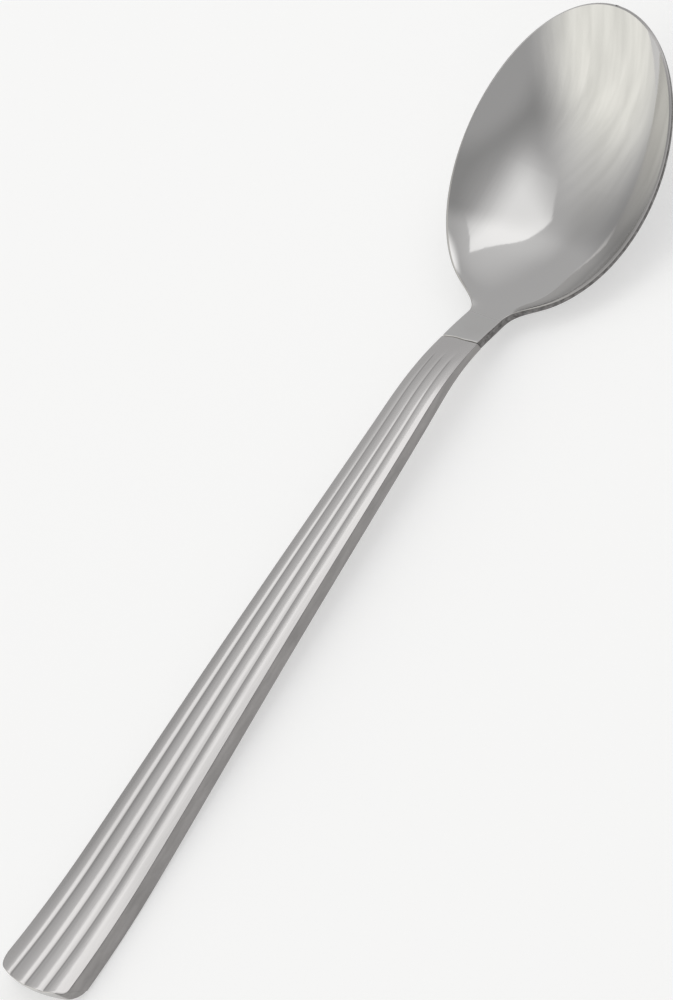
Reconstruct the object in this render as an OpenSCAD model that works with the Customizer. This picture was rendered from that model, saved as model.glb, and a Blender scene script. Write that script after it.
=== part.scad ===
// Tablespoon: a pressed bowl with its neck, and a reeded handle that meets the neck at a straight seam.
// X runs from the handle's end to the bowl's tip, Y across, Z up, in millimetres.
// The spoon lies as on a table: the bowl's belly and the underside of the handle's end touch Z = 0,
// and the origin is under the middle of the length.

/* [Handle] */
// Length of the handle, from its end to the seam at the neck
handle_l = 143; // [125:1:155]
// Width of the handle at its end
handle_end_w = 17.1; // [13:0.1:21]
// Width of the handle at the seam
handle_neck_w = 7.9; // [7.4:0.1:10]
// Thickness of the handle's side at its end
handle_end_t = 3.4; // [2.4:0.1:4.5]
// Thickness of the handle's side at the seam
handle_neck_t = 2.5; // [1.6:0.1:3]
// Height of the domed top above the sides at the handle's end
crown_h = 1.1; // [0.4:0.1:1.6]
// Depth of the hollow back at the handle's end
back_hollow = 1.2; // [0:0.1:1.8]
// How far the lower side edges stand out beyond the upper ones at the handle's end
side_draft = 0.75; // [0:0.05:1.2]
// Round of the lower side edges
back_round = 0.35; // [0.2:0.05:0.8]
// How far the end bulges beyond its corners
end_bulge = 2; // [0.5:0.1:3]
// Radius of the end's corners
end_corner_r = 2.1; // [1:0.1:4]
// How far the end's lower edge lies behind its upper edge
end_lean = 0.8; // [0:0.1:1.5]

/* [Reeds] */
// Number of reeds side by side
reed_count = 4; // [2:1:6]
// Height of the reeds above the grooves between them, at the handle's end
reed_h = 0.35; // [0.2:0.05:0.8]
// Plain length between the seam and the tips of the reeds
plain_l = 1.6; // [0.5:0.1:5]
// Length over which the reeds rise from the plain band
fade_l = 5; // [2:0.5:12]

/* [Side view] */
// Angle of the handle's underside to the table, in degrees
handle_tilt = 2.9; // [2.2:0.1:4]
// How far the handle's end turns up
end_lift = 2.2; // [1.2:0.1:3]
// Length of the turned-up end
lift_l = 28; // [20:1:40]
// How far the middle of the handle arches above a straight line
handle_arch = 0.35; // [0:0.05:0.8]
// Length of the handle that bends down before the seam
bend_l = 19; // [12:1:25]
// How far the neck's lower end lies below the line of the handle
neck_drop = 4.5; // [3:0.1:5]
// Slope of the neck down to the bowl, in degrees
neck_angle = 17; // [12:0.5:22]
// Climb of the rim from the neck to the tip
rim_rise = 18.5; // [12:0.1:22]
// Slope of the rim at the neck, in degrees
rim_back_angle = 6.4; // [0:0.1:12]
// Slope of the rim at the tip, in degrees
rim_tip_angle = 22.2; // [16:0.1:32]

/* [Neck] */
// Length of the neck, from the seam to the back of the bowl's oval
neck_l = 9; // [7:0.5:16]
// Width of the neck
neck_w = 7.8; // [6.6:0.1:8]
// Thickness of the neck
neck_t = 2.25; // [1.8:0.05:3]
// Height of the neck's top above the handle's top at the seam
seam_step = 0.15; // [0.05:0.05:0.4]
// Length of the shoulder that flares out before the back of the bowl's oval
shoulder_lead = 2.9; // [1.5:0.1:5]
// Length of the shoulder inside the oval
shoulder_run = 3.3; // [3:0.1:8]
// Length of the turn from the neck's slope up into the rim
rim_lead = 3; // [2:0.1:6]

/* [Bowl] */
// Length of the bowl's oval, seen from above
bowl_l = 56; // [50:0.2:60]
// Width of the bowl
bowl_w = 45.8; // [38:0.2:50]
// How much fuller the oval is behind its middle than in front of it
bowl_egg = 0.005; // [0:0.005:0.08]
// Distance from the tip back to the lowest point of the hollow
belly_back = 42.3; // [36:0.1:45]
// Radius of the hollow's middle line at its lowest point
belly_r = 20; // [16:0.5:32]
// Wall at the belly
belly_wall = 1.3; // [0.9:0.05:2]
// Height of the rim's edge
rim_t = 1; // [0.8:0.05:1.6]
// Round of the rim's edges
rim_round = 0.25; // [0.1:0.05:0.35]
// How square the hollow's section is: 0 is an even curve, more is flatter below and steeper at the rim
hollow_square = 0.1; // [0:0.02:0.4]

/* [Hidden] */

// Width of the last facet at the tip
tip_land = 0.6;
// Length over which the curve of the handle's end dies out along its rows
end_zone = 14;
// Length over which the neck's thickness runs out into the bowl's wall
wall_run = 21;
// How far before the shoulder the hollow starts
hollow_lead = 1.2;
// Slope of the hollow's middle line at the tip, beyond the slope of the rim there
tip_scoop = 0.72;
// Curvatures of the rim at its lowest place and at the tip, and of the hollow's middle line at the tip
rim_back_curve = 0.02;
rim_tip_curve = -0.004;
keel_tip_curve = 0.02;
// Rows and points of the two lofts
reed_steps = 8;
end_rows = 11;
straight_rows = 8;
bend_rows = 11;
neck_rows = 13;
oval_rows = 30;
half_points = 9;

// Places along X, counted from the handle's end
seam_x = handle_l;
bend_x = seam_x - bend_l;
oval_x = seam_x + neck_l;
overall_l = oval_x + bowl_l;
shoulder_x = oval_x - shoulder_lead;
oval_join_x = oval_x + shoulder_run;
rim_x = shoulder_x + rim_lead;
hollow_x = shoulder_x - hollow_lead;
belly_x = overall_l - belly_back;

// Basic curves: a straight mix, a soft step, and a sweep between two places that are each given as
// [x, height, slope, curvature], so that sweeps in a row join without a kink
function mix(a, b, t) = a + (b - a) * t;
function unit(t) = max(0, min(1, t));
function soft(t) = let (u = unit(t)) u ^ 3 * (10 - 15 * u + 6 * u * u);
function sweep(x, from, to) =
    let (run = to[0] - from[0], t = (x - from[0]) / run)
    mix(from[1], to[1], 10 * t ^ 3 - 15 * t ^ 4 + 6 * t ^ 5)
    + from[2] * run * (t - 6 * t ^ 3 + 8 * t ^ 4 - 3 * t ^ 5)
    + to[2] * run * (7 * t ^ 4 - 4 * t ^ 3 - 3 * t ^ 5)
    + from[3] * run ^ 2 * (t ^ 2 - 3 * t ^ 3 + 3 * t ^ 4 - t ^ 5) / 2
    + to[3] * run ^ 2 * (t ^ 3 - 2 * t ^ 4 + t ^ 5) / 2;
// The same four numbers for a place on a line, from its heights just before, at and after it
small_step = 0.02;
function on_line(x, before, here, after) =
    [x, here, (after - before) / (2 * small_step), (after - 2 * here + before) / small_step ^ 2];

// Handle in the side view: a slightly arched underside, turned up at the end, that touches Z = 0 at its lowest
back_slope = tan(handle_tilt);
lift_share = back_slope * lift_l / (2 * end_lift);
back_low = back_slope * lift_l * (1 - lift_share) + end_lift * lift_share ^ 2;
side_slope = back_slope + (handle_neck_t - handle_end_t) / handle_l;
function handle_side_t(x) = mix(handle_end_t, handle_neck_t, x / handle_l);
function arch(x) = let (t = unit((x - lift_l) / (bend_x - lift_l))) handle_arch * 16 * t ^ 2 * (1 - t) ^ 2;
function handle_line(x) =
    back_slope * x + end_lift * max(0, 1 - x / lift_l) ^ 2 - back_low + arch(x) + handle_side_t(x);

// Line of the upper side edges: handle, bend down the neck, turn up at the shoulder, and rim, as one smooth run
neck_slope = -tan(neck_angle);
rim_slope = tan(rim_back_angle);
neck_low = handle_line(shoulder_x) - neck_drop;
rim_low = neck_low + rim_lead * (neck_slope + rim_slope) / 2;
tip_z = rim_low + rim_rise;
bend_start = [bend_x, handle_line(bend_x), side_slope, 0];
turn_start = [shoulder_x, neck_low, neck_slope, 0];
rim_start = [rim_x, rim_low, rim_slope, rim_back_curve];
rim_stop = [overall_l, tip_z, tan(rim_tip_angle), rim_tip_curve];
function edge_line(x) =
    x < bend_x ? handle_line(x)
    : x < shoulder_x ? sweep(x, bend_start, turn_start)
    : x < rim_x ? sweep(x, turn_start, rim_start)
    : sweep(x, rim_start, rim_stop);

// Half-width of the handle, of the oval, and of the neck with its shoulders
function handle_half_w(x) = mix(handle_end_w, handle_neck_w, x / handle_l) / 2;
function oval_half_w(x) =
    let (u = max(-1, min(1, (x - oval_x) / (bowl_l / 2) - 1)))
    bowl_w / 2 * sqrt(1 - u * u) * (1 - bowl_egg * u);
shoulder_start = [shoulder_x, neck_w / 2, 0, 0];
shoulder_stop = on_line(
    oval_join_x,
    oval_half_w(oval_join_x - small_step), oval_half_w(oval_join_x), oval_half_w(oval_join_x + small_step)
);
function bowl_half_w(x) =
    x < shoulder_x ? neck_w / 2
    : x < oval_join_x ? sweep(x, shoulder_start, shoulder_stop)
    : max(oval_half_w(x), tip_land / 2);

// Middle line of the hollow: it leaves the neck's top, runs down to the belly and up to the tip
function neck_top(x) = edge_line(x) + seam_step * (1 - soft((x - seam_x) / (oval_join_x - seam_x)));
seam_crown = crown_h * handle_neck_w / handle_end_w;
function neck_middle(x) = neck_top(x) + seam_crown * (1 - soft((x - seam_x) / (hollow_x - seam_x)));
keel_start = on_line(
    hollow_x,
    neck_top(hollow_x - small_step), neck_top(hollow_x), neck_top(hollow_x + small_step)
);
keel_belly = [belly_x, belly_wall, 0, 1 / belly_r];
keel_stop = [overall_l, tip_z, tan(rim_tip_angle) + tip_scoop, keel_tip_curve];
function keel_line(x) =
    x < hollow_x ? neck_middle(x)
    : x < belly_x ? sweep(x, keel_start, keel_belly)
    : sweep(x, keel_belly, keel_stop);

// Wall of the bowl and neck, measured upright, at the middle and at the edges
function wall_share(x) = soft((x - seam_x) / wall_run);
function middle_wall(x) = mix(neck_t, belly_wall, wall_share(x)) + max(0, keel_line(x) - neck_top(x));
function edge_wall(x) = mix(neck_t, rim_t, wall_share(x));

// Triangles of a closed loft: rows of points run round the section, and each end is a strip across it
function loft_sides(rows, n) = [
    for (i = [0 : rows - 2], j = [0 : n - 1])
        let (a = i * n + j, b = i * n + (j + 1) % n)
            each [[a, b, a + n], [b, b + n, a + n]]
];
function end_strip(first, n, turned) = [
    for (k = [0 : n / 2 - 2])
        let (a = first + k, b = first + k + 1, c = first + n - 2 - k, d = first + n - 1 - k)
            each turned ? [[a, c, b], [a, d, c]] : [[a, b, c], [a, c, d]]
];
module loft(rows) {
    n = len(rows[0]);
    points = [for (row = rows) each row];
    last = (len(rows) - 1) * n;
    faces = concat(loft_sides(len(rows), n), end_strip(0, n, true), end_strip(last, n, false));
    translate([-overall_l / 2, 0, 0])
        polyhedron(points = points, faces = faces);
}

// Bowl and neck: at each place along X, a dished upper line, a rounded edge and the wall below
across = [for (k = [-half_points : half_points]) sin(90 * k / half_points)];
function dish(x, u) =
    let (rim = neck_top(x))
    rim - (rim - keel_line(x)) * (1 - mix(u ^ 2, u ^ 4, hollow_square));
function wall(x, u) = mix(middle_wall(x), edge_wall(x), u * u);
function bowl_row(x) =
    let (w = bowl_half_w(x), r = min(rim_round, w / 2), inner = w - r)
    let (top = neck_top(x), low = top - edge_wall(x))
    concat(
        [[x, -w, top - r]],
        [for (u = across) [x, u * inner, dish(x, u)]],
        [[x, w, top - r], [x, w, low + r]],
        [for (u = across) [x, -u * inner, dish(x, u) - wall(x, u)]],
        [[x, -w, low + r]]
    );
oval_start = acos(1 - 2 * shoulder_run / bowl_l);
bowl_places = concat(
    [for (i = [0 : neck_rows - 1]) mix(seam_x, oval_join_x, i / neck_rows)],
    [for (i = [0 : oval_rows]) oval_x + bowl_l / 2 * (1 - cos(mix(oval_start, 180, i / oval_rows)))]
);

// Handle: at each row, reeds on a domed top, sides that lean out, rounded lower edges and a hollow back
reed_points = reed_count * reed_steps;
reed_share = [for (k = [0 : reed_points]) 2 * k / reed_points - 1];
function taper(x) = handle_half_w(x) * 2 / handle_end_w;
function dome(x, u) = crown_h * taper(x) * (1 - u * u);
function reed(x, u) =
    let (place = (u + 1) / 2 * reed_count, v = 2 * (place - floor(place)) - 1)
    reed_h * taper(x) * soft((seam_x - plain_l - x) / fade_l) * (1 - v * v);
function hollow(x, u) = back_hollow * (1 - x / handle_l) * (1 - u * u);
function back_half_w(x) = handle_half_w(x) + side_draft * (1 - x / handle_l);

// The end's outline: a shallow bulge and round corners, as a set-back of each point from the end's middle
function corner_set(u) =
    let (d = abs(u) * handle_end_w / 2 - (handle_end_w / 2 - end_corner_r))
    d > 0 ? end_corner_r - sqrt(max(0, end_corner_r ^ 2 - d * d)) : 0;
function end_set(u) = end_bulge * u * u + corner_set(u);
function end_share(s) = max(0, 1 - s / end_zone);
function top_x(s, u) = s + end_set(u) * end_share(s);
function back_x(s, u) = top_x(s, u) + end_lean * end_share(s);

function handle_top(s, u) =
    let (x = top_x(s, u)) [x, u * handle_half_w(x), edge_line(x) + dome(x, u) + reed(x, u)];
function handle_side(s, u) =
    let (x = back_x(s, u)) [x, u * back_half_w(x), edge_line(x) - handle_side_t(x) + back_round];
function handle_back(s, u) =
    let (x = back_x(s, u))
    [x, u * (back_half_w(x) - back_round), edge_line(x) - handle_side_t(x) + hollow(x, u)];
function handle_row(s) = concat(
    [for (u = reed_share) handle_top(s, u)],
    [handle_side(s, 1)],
    [for (u = reed_share) handle_back(s, -u)],
    [handle_side(s, -1)]
);
handle_places = concat(
    [for (i = [0 : end_rows - 1]) mix(0, lift_l, i / end_rows)],
    [for (i = [0 : straight_rows - 1]) mix(lift_l, bend_x, i / straight_rows)],
    [for (i = [0 : bend_rows]) mix(bend_x, seam_x, i / bend_rows)]
);

module bowl() {
    color("#c9c8c5")
        loft([for (x = bowl_places) bowl_row(x)]);
}

module handle() {
    color("#a8a5a1")
        loft([for (s = handle_places) handle_row(s)]);
}

bowl();
handle();
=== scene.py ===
"""Tablespoon on a pale table, under a square softbox overhead and soft screens around it.

Both pieces are surfaces worked out in millimetres from the lines that a maker would draw: the spoon in side
view, its outline from above, and the section at each place along its length. X is counted from the handle's
end while the lines are worked out, and the meshes are then moved so that the origin is under the middle.
Shares of the half-width run from -1 at the near side, which is towards -Y, to 1 at the far side.
"""
import math

import bpy
import numpy as np
from mathutils import Matrix, Vector


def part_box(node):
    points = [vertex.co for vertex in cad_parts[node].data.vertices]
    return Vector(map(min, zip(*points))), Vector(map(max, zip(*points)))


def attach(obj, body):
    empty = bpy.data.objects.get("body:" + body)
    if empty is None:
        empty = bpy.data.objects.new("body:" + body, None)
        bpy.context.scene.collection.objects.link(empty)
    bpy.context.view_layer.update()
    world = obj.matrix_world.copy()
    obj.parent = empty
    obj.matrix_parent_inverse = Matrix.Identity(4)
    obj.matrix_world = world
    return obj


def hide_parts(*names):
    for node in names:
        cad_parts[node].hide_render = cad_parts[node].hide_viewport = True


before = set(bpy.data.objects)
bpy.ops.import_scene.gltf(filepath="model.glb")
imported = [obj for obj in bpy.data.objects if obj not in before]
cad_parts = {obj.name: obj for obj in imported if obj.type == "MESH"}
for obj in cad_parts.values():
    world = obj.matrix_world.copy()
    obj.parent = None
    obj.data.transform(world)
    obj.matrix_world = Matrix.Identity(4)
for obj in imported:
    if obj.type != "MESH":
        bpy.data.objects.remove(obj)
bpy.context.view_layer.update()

MM = 0.001

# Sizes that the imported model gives, in millimetres
handle_low, handle_high = (np.array(c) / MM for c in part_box("handle"))
bowl_low, bowl_high = (np.array(c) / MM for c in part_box("bowl"))
overall_l = bowl_high[0] - handle_low[0]
handle_l = handle_high[0] - handle_low[0]
bowl_w = bowl_high[1] - bowl_low[1]
middle_x = -handle_low[0]
rest_z = max(handle_low[2], bowl_low[2])

# Handle: widths, thicknesses and the shape of its end, whose near upper corner is tighter than the far one
handle_end_w = 17.1
handle_neck_w = 7.9
handle_end_t = 3.4
handle_neck_t = 2.5
crown_h = 0.7
back_hollow = 1.2
side_draft = 0.75
back_round = 0.35
top_round = 0.12
end_bulge = 2.0
end_corner_r = 2.1
near_corner_r = 0.8
near_under_r = 2.4
end_trim = 0.35
end_slant = 0.45
end_under = 0.9
end_zone = 14.0
end_edge = 0.2

# Reeds, the grooves between them, and the bevel along each side of the top, which starts at a share of the
# half-width. Towards the seam they get shallower over a length, down to a share of their depth
reed_count = 4
reed_h = 0.1
plain_l = 1.6
fade_l = 5.0
groove_depth = 0.18
groove_w = 0.75
bevel_from = 0.79
bevel_slope = 0.22
bevel_blend = 0.03
reeded_crown_h = 0.5
shallow_l = 65.0
shallow_share = 0.4

# Side view, with angles in degrees
handle_tilt = 2.9
end_lift = 2.2
lift_l = 28.0
handle_arch = 0.35
bend_l = 19.0
neck_drop = 4.5
neck_angle = 17.0
rim_rise = 18.5
rim_back_angle = 6.4
rim_tip_angle = 22.2
rim_back_curve = 0.02
rim_tip_curve = -0.004

# Neck and seam
neck_l = 9.0
neck_w = 7.8
neck_t = 2.25
seam_step = 0.15
seam_edge = 0.2
seam_set = -0.2
seam_slant = 0.35
seam_wave = 0.06
seam_wave_turns = 5.0
seam_run = 5.0
seam_thin = 0.35
seam_thin_l = 20.0
neck_under = 1.0
shoulder_lead = 2.9
shoulder_run = 3.3

# Bowl
rim_lead = 3.0
bowl_egg = 0.005
belly_back = 42.3
belly_wall = 1.3
belly_curve = 0.05
hollow_lead = 1.2
tip_scoop = 0.72
keel_tip_curve = 0.02
rim_t = 1.0
rim_round = 0.2
rim_under = 0.3
rim_land = 0.36
rim_slant = 0.45
land_lead = 16.0
hollow_square = 0.1
wall_run = 21.0
tip_half_w = 0.05

# Faces that meet at a larger angle than this, in degrees, keep a sharp edge between them
sharp_angle = 34.0

# Places along the spoon
seam_x = handle_l
bend_x = seam_x - bend_l
oval_x = seam_x + neck_l
bowl_l = overall_l - oval_x
shoulder_x = oval_x - shoulder_lead
oval_join_x = oval_x + shoulder_run
rim_x = shoulder_x + rim_lead
hollow_x = shoulder_x - hollow_lead
belly_x = overall_l - belly_back


def soft(t):
    """Step from 0 to 1 without a kink: six t to the fifth, less fifteen to the fourth, plus ten cubed."""
    u = np.clip(t, 0, 1)
    return u ** 3 * (10 - 15 * u + 6 * u * u)


def sweep(x, start, stop):
    """Line between two places, each given as (x, height, slope, curvature): the one polynomial of the fifth
    degree that has both heights, both slopes and both curvatures, so that runs of it join without a kink."""
    (x0, a, slope_a, curve_a), (x1, b, slope_b, curve_b) = start, stop
    run = x1 - x0
    t = (np.asarray(x, float) - x0) / run
    t3, t4, t5 = t ** 3, t ** 4, t ** 5
    return (
        a * (1 - 10 * t3 + 15 * t4 - 6 * t5)
        + b * (10 * t3 - 15 * t4 + 6 * t5)
        + slope_a * run * (t - 6 * t3 + 8 * t4 - 3 * t5)
        + slope_b * run * (-4 * t3 + 7 * t4 - 3 * t5)
        + curve_a * run ** 2 * (t ** 2 / 2 - 1.5 * t3 + 1.5 * t4 - t5 / 2)
        + curve_b * run ** 2 * (t3 / 2 - t4 + t5 / 2)
    )


def at(line, x):
    """(x, height, slope, curvature) of a line at x, from its heights a small step to either side."""
    step = 0.02
    below, here, above = (float(line(x + k * step)) for k in (-1, 0, 1))
    return x, here, (above - below) / (2 * step), (above - 2 * here + below) / step ** 2


back_slope = math.tan(math.radians(handle_tilt))
lift_share = back_slope * lift_l / (2 * end_lift)
back_low = back_slope * lift_l * (1 - lift_share) + end_lift * lift_share ** 2
side_slope = back_slope + (handle_neck_t - handle_end_t) / handle_l


def handle_side_t(x):
    """Thickness of the handle's side: a straight taper from the end to the seam."""
    return handle_end_t + (handle_neck_t - handle_end_t) * x / handle_l


def handle_line(x):
    """Height of the handle's upper side edges: an underside at its tilt with a slight arch, the end turned up as
    a square of the distance, set so that the lowest place touches the table, plus the side's thickness."""
    lift = end_lift * np.maximum(0, 1 - x / lift_l) ** 2
    t = np.clip((x - lift_l) / (bend_x - lift_l), 0, 1)
    arch = handle_arch * 16 * t ** 2 * (1 - t) ** 2
    return back_slope * x + lift - back_low + arch + handle_side_t(x)


neck_slope = -math.tan(math.radians(neck_angle))
rim_slope = math.tan(math.radians(rim_back_angle))
tip_slope = math.tan(math.radians(rim_tip_angle))
neck_low = float(handle_line(shoulder_x)) - neck_drop
rim_low = neck_low + rim_lead * (neck_slope + rim_slope) / 2
tip_z = rim_low + rim_rise
bend_start = (bend_x, float(handle_line(bend_x)), side_slope, 0.0)
turn_start = (shoulder_x, neck_low, neck_slope, 0.0)
rim_start = (rim_x, rim_low, rim_slope, rim_back_curve)
rim_stop = (overall_l, tip_z, tip_slope, rim_tip_curve)


def edge_line(x):
    """Height of the upper side edges all along: handle, bend down the neck, turn up at the shoulder, and rim."""
    x = np.asarray(x, float)
    runs = [handle_line(x), sweep(x, bend_start, turn_start), sweep(x, turn_start, rim_start)]
    return np.select([x < bend_x, x < shoulder_x, x < rim_x], runs, sweep(x, rim_start, rim_stop))


def handle_half_w(x):
    """Half the handle's width: a straight taper from the end to the seam."""
    return (handle_end_w + (handle_neck_w - handle_end_w) * x / handle_l) / 2


def oval_half_w(x):
    """Half the bowl's width: an ellipse, made a little fuller towards the neck."""
    u = np.clip((x - oval_x) / (bowl_l / 2) - 1, -1, 1)
    return bowl_w / 2 * np.sqrt(1 - u * u) * (1 - bowl_egg * u)


shoulder_start = (shoulder_x, neck_w / 2, 0.0, 0.0)
shoulder_stop = at(oval_half_w, oval_join_x)


def bowl_half_w(x):
    """Half-width of neck, shoulder and oval, one after the other."""
    x = np.asarray(x, float)
    oval = np.clip(oval_half_w(x), tip_half_w, bowl_w / 2)
    flared = np.where(x < oval_join_x, sweep(x, shoulder_start, shoulder_stop), oval)
    return np.where(x < shoulder_x, neck_w / 2, flared)


seam_crown = crown_h * handle_neck_w / handle_end_w


def neck_top(x):
    """Height of the neck's upper edges: the edge line, and the step at the seam that dies out in the bowl."""
    return edge_line(x) + seam_step * (1 - soft((x - seam_x) / (oval_join_x - seam_x)))


def neck_middle(x):
    """Height of the neck's middle: its edges, and the crown that runs on from the handle and dies out."""
    return neck_top(x) + seam_crown * (1 - soft((x - seam_x) / (hollow_x - seam_x)))


keel_start = at(neck_top, hollow_x)
keel_belly = (belly_x, belly_wall, 0.0, belly_curve)
keel_stop = (overall_l, tip_z, tip_slope + tip_scoop, keel_tip_curve)


def keel_line(x):
    """Height of the hollow's middle line: off the neck, down to the belly and up to the tip."""
    x = np.asarray(x, float)
    hollow = np.where(x < belly_x, sweep(x, keel_start, keel_belly), sweep(x, keel_belly, keel_stop))
    return np.where(x < hollow_x, neck_middle(x), hollow)


def dish(x, u):
    """Height of the bowl's upper face at share u of the half-width: the rim, less the depth times one minus
    a square of u that is mixed with a little of its fourth power."""
    rim = neck_top(x)
    return rim - (rim - keel_line(x)) * (1 - (1 - hollow_square) * u ** 2 - hollow_square * u ** 4)


def wall(x, u):
    """Upright wall of bowl and neck: the neck's thickness runs out into the bowl's, at middle and edge."""
    share = soft((x - seam_x) / wall_run)
    middle = neck_t + (belly_wall - neck_t) * share + np.maximum(0, keel_line(x) - neck_top(x))
    edge = neck_t + (rim_t - neck_t) * share
    return middle + (edge - middle) * u ** 2


def seam_shift(u):
    """How far the seam lies from its mean place at share u of the half-width: a straight slant plus a small sine
    wave, so that it runs a little aslant and unevenly."""
    return seam_set - seam_slant * u + seam_wave * np.sin(seam_wave_turns * u)


def quarter_round(edge, steps=6):
    """Places and insets of the rings that round a loft's end: a quarter circle of radius edge."""
    turn = np.linspace(0, math.pi / 2, steps, endpoint=False)
    return edge * (1 - np.cos(turn)), edge * (1 - np.sin(turn))


def lofted(name, upper, lower, **marks):
    """Closed shell from two grids of points, (rows, points, 3) in millimetres: the upper half of each section
    from side to side, and the lower half back again. Marks are numbers of the same grids, kept as attributes."""
    rings = np.concatenate([upper, lower[:, ::-1]], axis=1)
    rings[..., 2] = np.maximum(rings[..., 2], rest_z)
    rows, n = rings.shape[:2]
    i, j = np.meshgrid(np.arange(rows - 1), np.arange(n), indexing="ij")
    a, b = i * n + j, i * n + (j + 1) % n
    sides = np.stack([a, a + n, b + n, b], axis=-1).reshape(-1, 4)
    k = np.arange(n // 2 - 1)
    first = np.stack([k, k + 1, n - 2 - k, n - 1 - k], axis=-1)
    last = first[:, ::-1] + (rows - 1) * n
    faces = np.concatenate([sides, first, last])
    points = (rings - np.array([middle_x, 0, 0])).reshape(-1, 3) * MM
    mesh = bpy.data.meshes.new(name)
    mesh.from_pydata(points.tolist(), [], faces.tolist())
    for mark, (over, under) in marks.items():
        numbers = np.concatenate([over, under[:, ::-1]], axis=1).astype(np.float32)
        mesh.attributes.new(mark, "FLOAT", "POINT").data.foreach_set("value", numbers.ravel())
    mesh.polygons.foreach_set("use_smooth", np.ones(len(faces), bool))
    mesh.set_sharp_from_angle(angle=math.radians(sharp_angle))
    mesh.validate()
    piece = bpy.data.objects.new(name, mesh)
    bpy.context.scene.collection.objects.link(piece)
    return piece


def both_sides(edge, inside, odd=False):
    """Numbers for one edge from the outside inwards, then for the inside, then for the other edge outwards."""
    return np.concatenate([-edge if odd else edge, inside, edge[::-1]])


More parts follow.
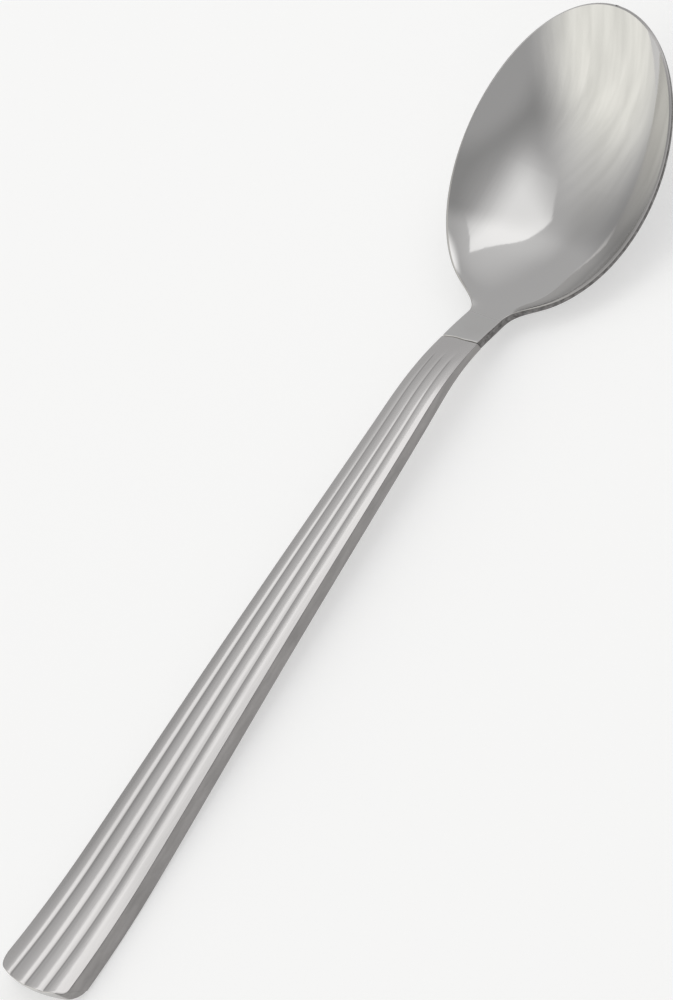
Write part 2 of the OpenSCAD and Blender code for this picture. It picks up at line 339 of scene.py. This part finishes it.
def bowl_piece():
    """Bowl and neck: rows of sections along X. Each upper half runs from the middle of one edge over a rounded
    corner and the rim's narrow slanted land, across the dish and down the other edge, and the lower half follows
    the wall below it. The land and the round are set square to the outline seen from above, so that they go
    round the tip too, and there the whole dish moves back by as much."""
    neck_rows, shoulder_rows, oval_rows = 30, 40, 190
    tip_turn = 0.004
    oval_turn = np.linspace(math.acos(1 - 2 * shoulder_run / bowl_l), math.pi - tip_turn, oval_rows)
    places = np.concatenate([
        np.linspace(seam_x + seam_edge, shoulder_x, neck_rows)[:-1],
        np.linspace(shoulder_x, oval_join_x, shoulder_rows)[:-1],
        oval_x + bowl_l / 2 * (1 - np.cos(oval_turn)),
    ])
    ahead, seam_inset = quarter_round(seam_edge)
    x = np.concatenate([seam_x + ahead, places])
    inset = np.concatenate([seam_inset, np.zeros(len(places))])
    half = bowl_half_w(x)
    along, across = np.gradient(x), np.gradient(half)
    size = np.hypot(along, across)
    out_x = np.where(x < shoulder_x, 0, -across / size)[:, None]
    out_y = np.where(x < shoulder_x, 1, along / size)[:, None]
    x, half, inset = x[:, None], half[:, None], inset[:, None]

    # Points of a section from the outside inwards: two on the edge, the round, the land, and then the dish.
    # Below the land and the dish they lie a little closer together, so that no two are in one place
    round_points, dish_points = 7, 141
    land_share = np.array([0.4, 0.85, 1.0])
    under_land, under_dish = 0.002, 0.997
    arc = np.linspace(0, math.pi / 2, round_points)
    u_dish = np.sin(np.linspace(-math.pi / 2, math.pi / 2, dish_points))[1:-1]
    flat, full = np.zeros(len(u_dish)), np.ones(len(u_dish))
    no_land, on_land = np.zeros(len(arc) + 2), np.ones(len(land_share))
    u = both_sides(np.ones(len(no_land) + len(on_land)), u_dish, odd=True)
    u_edge_under = np.concatenate([no_land + 1, 1 - under_land * land_share])
    u_under = both_sides(u_edge_under, under_dish * u_dish, odd=True)
    depth = both_sides(np.concatenate([[0, 0], 1 - np.cos(arc), on_land]), full)
    drop = both_sides(np.concatenate([[0, 0], 1 - np.sin(arc), 0 * on_land]), flat)
    land = both_sides(np.concatenate([no_land, land_share]), full)
    is_low, is_mid = np.zeros(len(u)), np.zeros(len(u))
    is_low[[0, -1]] = 1
    is_mid[[1, -2]] = 1

    # The rounds are smaller where the tip is narrow. Before the widest place, a high power of u keeps the
    # setback to the edge and leaves the dish where it is
    edge_power = 6
    r = np.minimum(rim_round, half / 3)
    r_under = rim_under + (neck_under - rim_under) * (1 - soft((x - seam_x) / wall_run))
    r_under = np.minimum(r_under, half / 2)
    land_w = rim_land * soft((x - shoulder_x) / land_lead)
    slanted = seam_shift(u) * (1 - soft((x - seam_x) / seam_run))
    narrow = 1 - inset / half
    setback = r * depth + land_w * land
    tip_side = x > oval_x + bowl_l / 2
    over_x = x - out_x * setback * np.where(tip_side, 1, np.abs(u) ** edge_power) + slanted
    over_y = u * (half - out_y * setback) * narrow
    under_x = x - out_x * r_under * depth * np.abs(u_under) ** edge_power + slanted
    under_y = u_under * (half - out_y * r_under * depth) * narrow
    dish_x = np.where(tip_side, x, over_x)
    slope_down = rim_slant * land_w * (1 - land)
    over = dish(dish_x, u) - slope_down - r * drop
    under = dish(under_x, u_under) - wall(under_x, u_under) + r_under * drop

    # Two points in each half of the upright edge, at shares of its height from above and from below
    mid_share, low_share = 0.15, 0.48
    rim = dish(dish_x, u) - slope_down - r
    edge_h = wall(dish_x, u) - slope_down - r - r_under
    foot = rim - edge_h
    over = np.where(is_mid, rim - mid_share * edge_h, np.where(is_low, rim - low_share * edge_h, over))
    under = np.where(is_mid, foot + mid_share * edge_h, np.where(is_low, foot + low_share * edge_h, under))
    least_t = 1.0
    middle = (over + under) / 2
    squeeze = 1 - 2 * inset / np.maximum(over - under, least_t)
    over, under = middle + (over - middle) * squeeze, middle + (under - middle) * squeeze

    # Marks for the finish: the dull neck, the cut edge with the outer part of its round, which is rougher and
    # has its colour darkened as painted shade, and the land
    dull_lead, dull_run = 2.0, 9.0
    cut_depth = 0.3
    at_edge = np.abs(u) >= 1
    neck = np.broadcast_to(1 - soft((x - shoulder_x + dull_lead) / dull_run), over.shape)
    ground = np.broadcast_to(at_edge & (depth < cut_depth), over.shape).astype(float)
    ground_and_shaded_under = np.broadcast_to(at_edge & (land == 0), over.shape).astype(float)
    ground[-1], ground_and_shaded_under[-1] = 1, 1
    on_rim = np.broadcast_to(at_edge & (land < 1), over.shape).astype(float)
    return lofted(
        "bowl_and_neck",
        np.stack([over_x, over_y, over], axis=-1),
        np.stack([under_x, under_y, under], axis=-1),
        neck=(neck, neck),
        ground_edge=(ground, ground_and_shaded_under),
        rim_land=(on_rim, 0 * on_rim),
    )


def end_set(u, corner_r):
    """How far the handle's end lies behind its middle at share u of the half-width: a square for the bulge, plus
    the arc of the rounded corner. With it comes the share of the outline's direction that faces the end, from 1
    across the middle to 0 at the sides."""
    least = 1e-3
    past = np.maximum(0, np.abs(u) * handle_end_w / 2 - (handle_end_w / 2 - corner_r))
    rest = np.sqrt(np.maximum(0, corner_r ** 2 - past ** 2))
    slope = 4 * end_bulge * np.abs(u) / handle_end_w + past / np.maximum(rest, least)
    return end_bulge * u * u + corner_r - rest, 1 / np.hypot(1, slope)


def reed_shares():
    """Shares of the half-width across the top: close together at each groove, and round the end's corners."""
    reed_points, corner_points = 29, 19
    reed = np.sin(np.linspace(-math.pi / 2, math.pi / 2, reed_points))
    middles = (np.arange(reed_count) + 0.5) * 2 / reed_count - 1
    grooves = (middles[:, None] + reed / reed_count).ravel()
    corner = 1 - 2 * end_corner_r / handle_end_w
    round_corner = corner + (1 - corner) * np.sin(np.linspace(0, math.pi / 2, corner_points))
    return np.unique(np.concatenate([grooves, round_corner, -round_corner]).round(6))


def reeded_top(x, u):
    """Height of the handle's top over its side edges, and how far in a groove each point is, from 0 to 1.

    The reeded top is a low crown, a square of u, with a straight bevel along each side that starts in a small
    hyperbola. Each reed falls off as a square of the place across it, apart from the outer halves of the outer
    reeds, where the bevel is. Each groove is a bell curve. Near the seam a plain crown takes their place."""
    half = handle_half_w(x)
    taper = 2 * half / handle_end_w
    reeds = soft((seam_x - plain_l - x) / fade_l)
    depth = shallow_share + (1 - shallow_share) * soft((seam_x - x) / shallow_l)

    place = (u + 1) / 2 * reed_count
    which = np.minimum(np.floor(place), reed_count - 1)
    from_middle = 2 * (place - which) - 1
    from_middle = np.where(np.abs(u) > 1 - 1 / reed_count, 0, from_middle)
    border = np.round(place)
    gap = np.abs(place - border) * 2 * half / reed_count
    between = (border > 0) & (border < reed_count) & (np.abs(u) < 1)
    groove = np.exp(-(gap / (groove_w * taper)) ** 2) * between * reeds

    past = np.abs(u) - bevel_from
    bevel = (np.hypot(past, bevel_blend) + past) / 2
    bevel_end = (math.hypot(1 - bevel_from, bevel_blend) + 1 - bevel_from) / 2
    bevelled = depth * bevel_slope * handle_end_w / 2 * (bevel_end - bevel) + reeded_crown_h * (1 - u * u)
    crown = crown_h * (1 - u * u) * (1 - reeds) + bevelled * reeds
    cut = depth * (reed_h * reeds * from_middle ** 2 + groove_depth * groove)
    return taper * (crown - cut), groove


def handle_piece():
    """Handle: rows of sections along X. Each upper half goes from the middle of one side over the edge and the
    reeded top to the other side, and each lower half over rounded lower edges and the hollow back. Towards the
    end the rows bend to its outline, and the lower ones stay a little behind the upper ones."""
    close_l, fade_x = 6.0, seam_x - plain_l - fade_l
    end_rows, lift_rows, straight_rows, bend_rows, fade_rows = 16, 22, 40, 20, 44
    places = np.concatenate([
        np.linspace(end_edge, close_l, end_rows)[:-1],
        np.linspace(close_l, lift_l, lift_rows)[:-1],
        np.linspace(lift_l, bend_x, straight_rows)[:-1],
        np.linspace(bend_x, fade_x, bend_rows)[:-1],
        np.linspace(fade_x, seam_x - seam_edge, fade_rows),
    ])
    end_ahead, end_inset = quarter_round(end_edge)
    seam_ahead, seam_inset = quarter_round(seam_edge)
    s = np.concatenate([end_ahead, places, seam_x - seam_ahead[::-1]])[:, None]
    at_end = np.concatenate([end_inset, np.zeros(len(places) + len(seam_inset))])[:, None]
    at_seam = np.concatenate([np.zeros(len(end_inset) + len(places)), seam_inset[::-1]])[:, None]

    # Points of a section from the outside inwards: the middle of the side, the rounded edge, and then the top
    round_points = 6
    share = reed_shares()
    arc = np.linspace(0, math.pi / 2, round_points)[:-1]
    flat, full = np.zeros(len(share)), np.ones(len(share))
    u = both_sides(np.ones(len(arc) + 1), share, odd=True)
    edge_in = both_sides(np.concatenate([[0], 1 - np.cos(arc)]), full)
    edge_down = both_sides(np.concatenate([[0], 1 - np.sin(arc)]), flat)
    is_side = both_sides(np.concatenate([[1], 0 * arc]), flat)

    set_back, facing = end_set(u, np.where(u < 0, near_corner_r, end_corner_r))
    back_set_back, back_facing = end_set(u, np.where(u < 0, near_under_r, end_corner_r))
    near_end = np.maximum(0, 1 - s / end_zone)
    slanted = seam_shift(u) * soft((s - seam_x + seam_run) / seam_run)
    top_x = s + (set_back + end_trim + end_slant * u) * near_end + slanted
    back_x = s + (back_set_back + end_under) * near_end + slanted

    to_seam = soft((back_x - seam_x + seam_thin_l) / seam_thin_l)
    under_round = back_round + (neck_under - back_round) * to_seam
    thick = handle_side_t(back_x) - seam_thin * to_seam
    half = handle_half_w(top_x)
    back_half = handle_half_w(back_x) + side_draft * (1 - back_x / handle_l)
    lean = (back_half - half) / thick

    rise, groove = reeded_top(top_x, u)
    over = edge_line(top_x) + rise - top_round * edge_down
    over_y = np.where(
        np.abs(u) < 1, u * (half - top_round),
        u * (half - top_round * edge_in) + np.sign(u) * lean * top_round * edge_down)
    hollow = back_hollow * (1 - back_x / handle_l) * (1 - u * u)
    under = edge_line(back_x) - thick + hollow + under_round * edge_down
    under_y = np.where(np.abs(u) < 1, u * (back_half - under_round), u * (back_half - under_round * edge_in))

    # The two halves of a section end close to each other, in the middle of the side
    side_gap = 0.02
    middle = (over + under) / 2
    over, under = np.where(is_side, middle + side_gap, over), np.where(is_side, middle - side_gap, under)
    mid_x, mid_y = (top_x + back_x) / 2, (over_y + under_y) / 2
    over_x, under_x = np.where(is_side, mid_x, top_x), np.where(is_side, mid_x, back_x)
    over_y, under_y = np.where(is_side, mid_y, over_y), np.where(is_side, mid_y, under_y)
    over_inset = (at_end * facing ** 2 + at_seam) * (1 - is_side)
    under_inset = (at_end * back_facing ** 2 + at_seam) * (1 - is_side)
    narrow = 1 - at_seam / half

    # Marks for the finish: the sides, with the end's corners, which are duller and have their colour darkened as
    # painted shade, and the end itself where it faces outwards
    end_from, end_blend = 0.72, 0.2
    is_flank = np.broadcast_to((edge_down > 0) | (is_side > 0), top_x.shape)
    end_ring = 1 - soft((s - end_edge / 2) / end_edge)
    to_end = soft((back_facing - end_from) / end_blend)
    end_face = end_ring * to_end
    side_face = np.maximum(is_flank, end_ring * (1 - to_end))
    return lofted(
        "reeded_handle",
        np.stack([over_x, over_y * narrow, over - over_inset], axis=-1),
        np.stack([under_x, under_y * narrow, under + under_inset], axis=-1),
        groove=(groove, 0 * groove),
        side_face=(side_face, side_face),
        end_face=(end_face, end_face),
    )


def linear(colour):
    """sRGB hex colour as linear RGBA."""
    parts = np.array([int(colour[k:k + 2], 16) for k in (1, 3, 5)]) / 255
    parts = np.where(parts <= 0.04045, parts / 12.92, ((parts + 0.055) / 1.055) ** 2.4)
    return (*parts.tolist(), 1.0)


def node(tree, kind, inputs=None, **settings):
    """Adds a node to a tree with its settings. Inputs are plain values, or sockets to be linked."""
    made = tree.nodes.new(kind)
    for key, value in settings.items():
        setattr(made, key, value)
    for socket, value in (inputs or {}).items():
        if isinstance(value, bpy.types.NodeSocket):
            tree.links.new(value, made.inputs[socket])
        else:
            made.inputs[socket].default_value = value
    return made


def maths(tree, operation, *numbers):
    """Result of one operation on numbers, which are plain values or sockets."""
    return node(tree, "ShaderNodeMath", dict(enumerate(numbers)), operation=operation).outputs[0]


def ranged(tree, value, low, high, source=(0.0, 1.0), **settings):
    """Number that runs from low to high while the value runs over the source, and stays there beyond it."""
    limits = {"From Min": source[0], "From Max": source[1], "To Min": low, "To Max": high}
    return node(tree, "ShaderNodeMapRange", {"Value": value, **limits}, **settings).outputs["Result"]


def mixed(tree, share, a, b):
    """Colour that goes from a to b as the share goes from 0 to 1."""
    return node(tree, "ShaderNodeMix", {"Factor": share, "A": a, "B": b}, data_type="RGBA").outputs[2]


def marked(tree, mark):
    """Number that the mesh keeps at its points under this name."""
    return node(tree, "ShaderNodeAttribute", attribute_name=mark).outputs["Fac"]


def noise(tree, millimetres, detail, roughness):
    """Noise fixed to the object, whose marks have these lengths in millimetres along X, Y and Z."""
    where = node(tree, "ShaderNodeTexCoord").outputs["Object"]
    per_metre = tuple(1 / (size * MM) for size in millimetres)
    place = node(tree, "ShaderNodeMapping", {"Vector": where, "Scale": per_metre}).outputs["Vector"]
    return node(tree, "ShaderNodeTexNoise", {
        "Vector": place, "Scale": 1.0, "Detail": detail, "Roughness": roughness}).outputs["Fac"]


def new_material(name):
    """Empty material with its node tree and its output node."""
    made = bpy.data.materials.new(name)
    made.use_nodes = True
    made.node_tree.nodes.clear()
    return made, made.node_tree, node(made.node_tree, "ShaderNodeOutputMaterial")


def bare_metal(tree, out, colour, rough, bump):
    """Shader of a metal without any coat."""
    made = node(tree, "ShaderNodeBsdfPrincipled", {
        "Base Color": colour, "Metallic": 1.0, "Roughness": rough, "Normal": bump.outputs["Normal"]})
    tree.links.new(made.outputs["BSDF"], out.inputs["Surface"])


def polished_stainless_steel():
    """Stainless steel, pressed and then polished with a soft wheel along its length.

    To the eye: a bright mirror that is a little uneven, so that reflections have feathered edges along the
    polishing direction. The neck is less polished. The rim has a ground land that shines softly. Its outer
    edge, and the neck's sides, are rough and specked as they were cut, and their colour is darkened as painted
    shade."""
    mirror_from, mirror_to, neck_rough, ground_rough = 0.045, 0.075, 0.3, 0.28
    made, tree, out = new_material("stainless_steel_wheel_polished")
    wave = noise(tree, (34, 6.0, 9.0), detail=1.5, roughness=0.5)
    # Marks of the wheel are about 0.05 mm wide, and are drawn 0.5 mm wide so that they show
    mark = noise(tree, (22, 0.5, 0.9), detail=2.0, roughness=0.55)
    speck = noise(tree, (0.7, 0.7, 0.7), detail=3.0, roughness=0.7)
    neck, edge, land = marked(tree, "neck"), marked(tree, "ground_edge"), marked(tree, "rim_land")

    mirror = ranged(tree, mark, mirror_from, mirror_to, source=(0.3, 0.7))
    duller = ranged(tree, neck, mirror, neck_rough)
    rough = ranged(tree, maths(tree, "MAXIMUM", edge, land), duller, ground_rough)
    grit = ranged(tree, speck, 0.0, 1.0, source=(0.35, 0.65))
    # Painted shade: the cut edge and the neck's sides get a dark colour, with specks of uneven tone in it
    dark = mixed(tree, grit, linear("#5d5b5a"), linear("#8b8988"))
    face = mixed(tree, land, linear("#c6c5c4"), linear("#b8b6b5"))
    colour = mixed(tree, edge, face, dark)
    rolling = node(tree, "ShaderNodeBump", {"Height": wave, "Strength": 1.0, "Distance": 0.03 * MM})
    fine = node(tree, "ShaderNodeBump", {
        "Height": mark, "Strength": 1.0, "Distance": 0.003 * MM, "Normal": rolling.outputs["Normal"]})
    bare_metal(tree, out, colour, rough, fine)
    return made


def satin_stainless_steel():
    """Stainless steel, cut with reeds and brushed along them with fine belts.

    To the eye: soft highlights on the reeds with fine lines along them, a darker colour along each groove,
    duller sides whose colour is darkened as painted shade, with long uneven stains in it, and a bright end."""
    satin_from, satin_to, side_rough = 0.15, 0.22, 0.45
    groove_sharpness = 6.0
    made, tree, out = new_material("stainless_steel_satin_brushed")
    # Belt lines are about 0.05 mm wide, and are drawn 0.25 mm wide so that they show
    line = noise(tree, (14, 0.25, 0.25), detail=2.0, roughness=0.6)
    stain = noise(tree, (7.0, 1.5, 1.5), detail=3.0, roughness=0.6)
    groove = maths(tree, "POWER", marked(tree, "groove"), groove_sharpness)
    side, end = marked(tree, "side_face"), marked(tree, "end_face")

    satin = ranged(tree, line, satin_from, satin_to, source=(0.3, 0.7))
    rough = ranged(tree, side, satin, side_rough)
    # The grooves get a darker colour than the reeds
    top = mixed(tree, groove, linear("#c4c2c1"), linear("#a5a3a2"))
    # Painted shade: the sides get a darker colour than the top, with long uneven stains in it
    stains_and_painted_shade = mixed(tree, stain, linear("#888685"), linear("#b0adac"))
    colour = mixed(tree, end, mixed(tree, side, top, stains_and_painted_shade), linear("#c6c4c3"))
    fine = node(tree, "ShaderNodeBump", {"Height": line, "Strength": 1.0, "Distance": 0.006 * MM})
    bare_metal(tree, out, colour, rough, fine)
    return made


bowl = bowl_piece()
bowl.data.materials.append(polished_stainless_steel())
handle = handle_piece()
handle.data.materials.append(satin_stainless_steel())
for piece, part, finish in ((bowl, "bowl", "polished_steel"), (handle, "handle", "satin_steel")):
    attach(piece, "root")
    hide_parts(part)


def table_top():
    """Pale table: a square sheet just under the spoon."""
    reach, gap = 40.0, 0.05 * MM
    corners = np.array([[-1, -1], [1, -1], [1, 1], [-1, 1]]) * reach
    points = np.concatenate([corners, np.full((4, 1), -gap)], axis=1)
    mesh = bpy.data.meshes.new("table_top")
    mesh.from_pydata(points.tolist(), [], [(0, 1, 2, 3)])
    made = bpy.data.objects.new("table_top", mesh)
    bpy.context.scene.collection.objects.link(made)
    return made


def white_table():
    """Painted white board, matt. Part of its white is its own for the eye and for the steel, so that it shows
    as white while the soft shadow under the spoon stays."""
    own_white = 0.42
    made, tree, out = new_material("white_painted_board")
    rays = node(tree, "ShaderNodeLightPath").outputs
    seen = maths(tree, "MAXIMUM", rays["Is Camera Ray"], rays["Is Glossy Ray"])
    shown = maths(tree, "MAXIMUM", seen, rays["Is Transmission Ray"])
    paint = node(tree, "ShaderNodeBsdfPrincipled", {
        "Base Color": linear("#d4d4d4"), "Roughness": 0.9, "Specular IOR Level": 0.0,
        "Emission Color": (1.0, 1.0, 1.0, 1.0), "Emission Strength": maths(tree, "MULTIPLY", shown, own_white)})
    tree.links.new(paint.outputs["BSDF"], out.inputs["Surface"])
    return made


table = table_top()
table.data.materials.append(white_table())


def pointing(bearing, height=0.0):
    """Direction with a bearing from +X and a height, both in degrees."""
    b, h = math.radians(bearing), math.radians(height)
    return math.cos(b) * math.cos(h), math.sin(b) * math.cos(h), math.sin(h)


def reach_along(tree, where, direction):
    """How far a place or direction reaches along another direction."""
    return node(tree, "ShaderNodeVectorMath", {0: where, 1: direction}, operation="DOT_PRODUCT").outputs["Value"]


def overhead_softbox():
    """Square softbox, level above the bowl and turned so that a corner points across the spoon. Its cloth is
    bright on the right and fades out towards its left edge and its bottom edge. A glow of 1 shows as white."""
    glow, wide, deep, turn = 0.57, 0.60, 0.595, -43.6
    fades = (
        # bearing along which it brightens, where it is dark, where it is full
        (-17, -0.16, -0.02),
        (75, -0.125, 0.155),
    )
    lamp = bpy.data.lights.new("overhead_softbox", "AREA")
    lamp.shape = "RECTANGLE"
    lamp.size, lamp.size_y = wide, deep
    lamp.energy = math.pi * wide * deep * glow
    lamp.use_nodes = True
    tree = lamp.node_tree
    where = node(tree, "ShaderNodeNewGeometry").outputs["Position"]
    cloth = 1.0
    for bearing, dark, full in fades:
        reach = reach_along(tree, where, pointing(bearing))
        fade = ranged(tree, reach, 0.0, 1.0, source=(dark, full), interpolation_type="SMOOTHSTEP")
        cloth = maths(tree, "MULTIPLY", cloth, fade)
    tree.links.new(cloth, tree.nodes["Emission"].inputs["Strength"])
    made = bpy.data.objects.new("overhead_softbox", lamp)
    made.location = (0.09, 0.057, 0.705)
    made.rotation_euler = (0, 0, math.radians(turn))
    made.visible_camera = False
    bpy.context.scene.collection.objects.link(made)


def grey_studio():
    """Grey studio with large soft screens. Each adds its glow to the directions near its middle, which is given
    by bearing from +X and height in degrees, and fades out between two angles from there. One of them is a
    pleated curtain: its folds are streaks that lean a little, and its cloth is a warmer white."""
    base_glow = 0.40
    curtain = (140, 16, 19, 57, 0.87)
    screens = (
        # bearing, height, full within, gone by, glow
        (20, 25, 48, 61, 0.23),
        (62, 73, 2, 40, 0.27),
        (-17, 33, 10, 22, 0.9),
        (-131, 34, 24, 38, 0.13),
    )
    plain, warm = (1.0, 1.0, 1.0, 1.0), (1.0, 0.995, 0.93, 1.0)
    fold_w, fold_lean, fold_run = math.radians(7), 0.45, 0.4
    fold_dark, fold_light = 0.86, 1.12
    world = bpy.data.worlds.new("grey_studio")
    world.use_nodes = True
    tree = world.node_tree
    tree.nodes.clear()
    out = node(tree, "ShaderNodeOutputWorld")
    towards = node(tree, "ShaderNodeTexCoord").outputs["Generated"]

    def screen(bearing, height, full, gone, glow):
        """Glow of one screen in each direction."""
        near = reach_along(tree, towards, pointing(bearing, height))
        limits = (math.cos(math.radians(gone)), math.cos(math.radians(full)))
        return ranged(tree, near, 0.0, glow, source=limits, interpolation_type="SMOOTHSTEP")

    # Bearings are counted from the curtain's middle, so that the jump after a full turn lies opposite it
    cloth = screen(*curtain)
    middle = math.radians(curtain[0])
    turned = node(tree, "ShaderNodeVectorRotate", {"Vector": towards, "Axis": (0.0, 0.0, 1.0), "Angle": -middle})
    axes = node(tree, "ShaderNodeSeparateXYZ", {0: turned.outputs[0]}).outputs
    around = maths(tree, "ADD", maths(tree, "ARCTAN2", axes["Y"], axes["X"]), middle)
    fold_at = maths(tree, "MULTIPLY_ADD", axes["Z"], fold_lean, around)
    fold_place = node(tree, "ShaderNodeCombineXYZ", {
        "X": maths(tree, "MULTIPLY", fold_at, 1 / fold_w),
        "Y": maths(tree, "MULTIPLY", axes["Z"], 1 / fold_run)})
    fold = node(tree, "ShaderNodeTexNoise", {
        "Vector": fold_place.outputs[0], "Scale": 1.0, "Detail": 2.5, "Roughness": 0.6}, noise_dimensions="2D")
    shade = ranged(tree, fold.outputs["Fac"], fold_dark, fold_light, source=(0.3, 0.7))
    light = maths(tree, "ADD", base_glow, maths(tree, "MULTIPLY", cloth, shade))
    for one in screens:
        light = maths(tree, "ADD", light, screen(*one))
    air = node(tree, "ShaderNodeBackground", {"Color": mixed(tree, cloth, plain, warm), "Strength": light})
    tree.links.new(air.outputs["Background"], out.inputs["Surface"])
    bpy.context.scene.world = world


overhead_softbox()
grey_studio()


def photo_camera():
    """Camera of the photograph: it stands 1.3 m off, to the left of the spoon's middle and 46 degrees up, and
    is turned so that the spoon runs from the lower left to the upper right."""
    bearing, height, distance = math.radians(24.718228), math.radians(46.322357), 1.29917735
    roll, focal_px, picture_h_px = 0.64917024, 7314.845, 1000
    middle = Vector((0.0, 0.0, 0.008))
    aim = Vector((0.000655747, 0.001072502, 0.008))
    level_out = math.cos(height)
    back = Vector((-math.sin(bearing) * level_out, -math.cos(bearing) * level_out, math.sin(height)))
    place = middle + distance * back
    ahead = (aim - place).normalized()
    level = ahead.cross(Vector((0, 0, 1))).normalized()
    under = ahead.cross(level)
    right = math.cos(roll) * level + math.sin(roll) * under
    down = -math.sin(roll) * level + math.cos(roll) * under
    lens = bpy.data.cameras.new("photo_camera")
    lens.sensor_fit = "AUTO"
    lens.sensor_width = 36.0
    lens.lens = focal_px / picture_h_px * lens.sensor_width
    made = bpy.data.objects.new("photo_camera", lens)
    turn = Matrix((right, -down, -ahead)).transposed().to_4x4()
    made.matrix_world = Matrix.Translation(place) @ turn
    bpy.context.scene.collection.objects.link(made)
    bpy.context.scene.camera = made


photo_camera()
bpy.context.scene.view_settings.view_transform = "Standard"
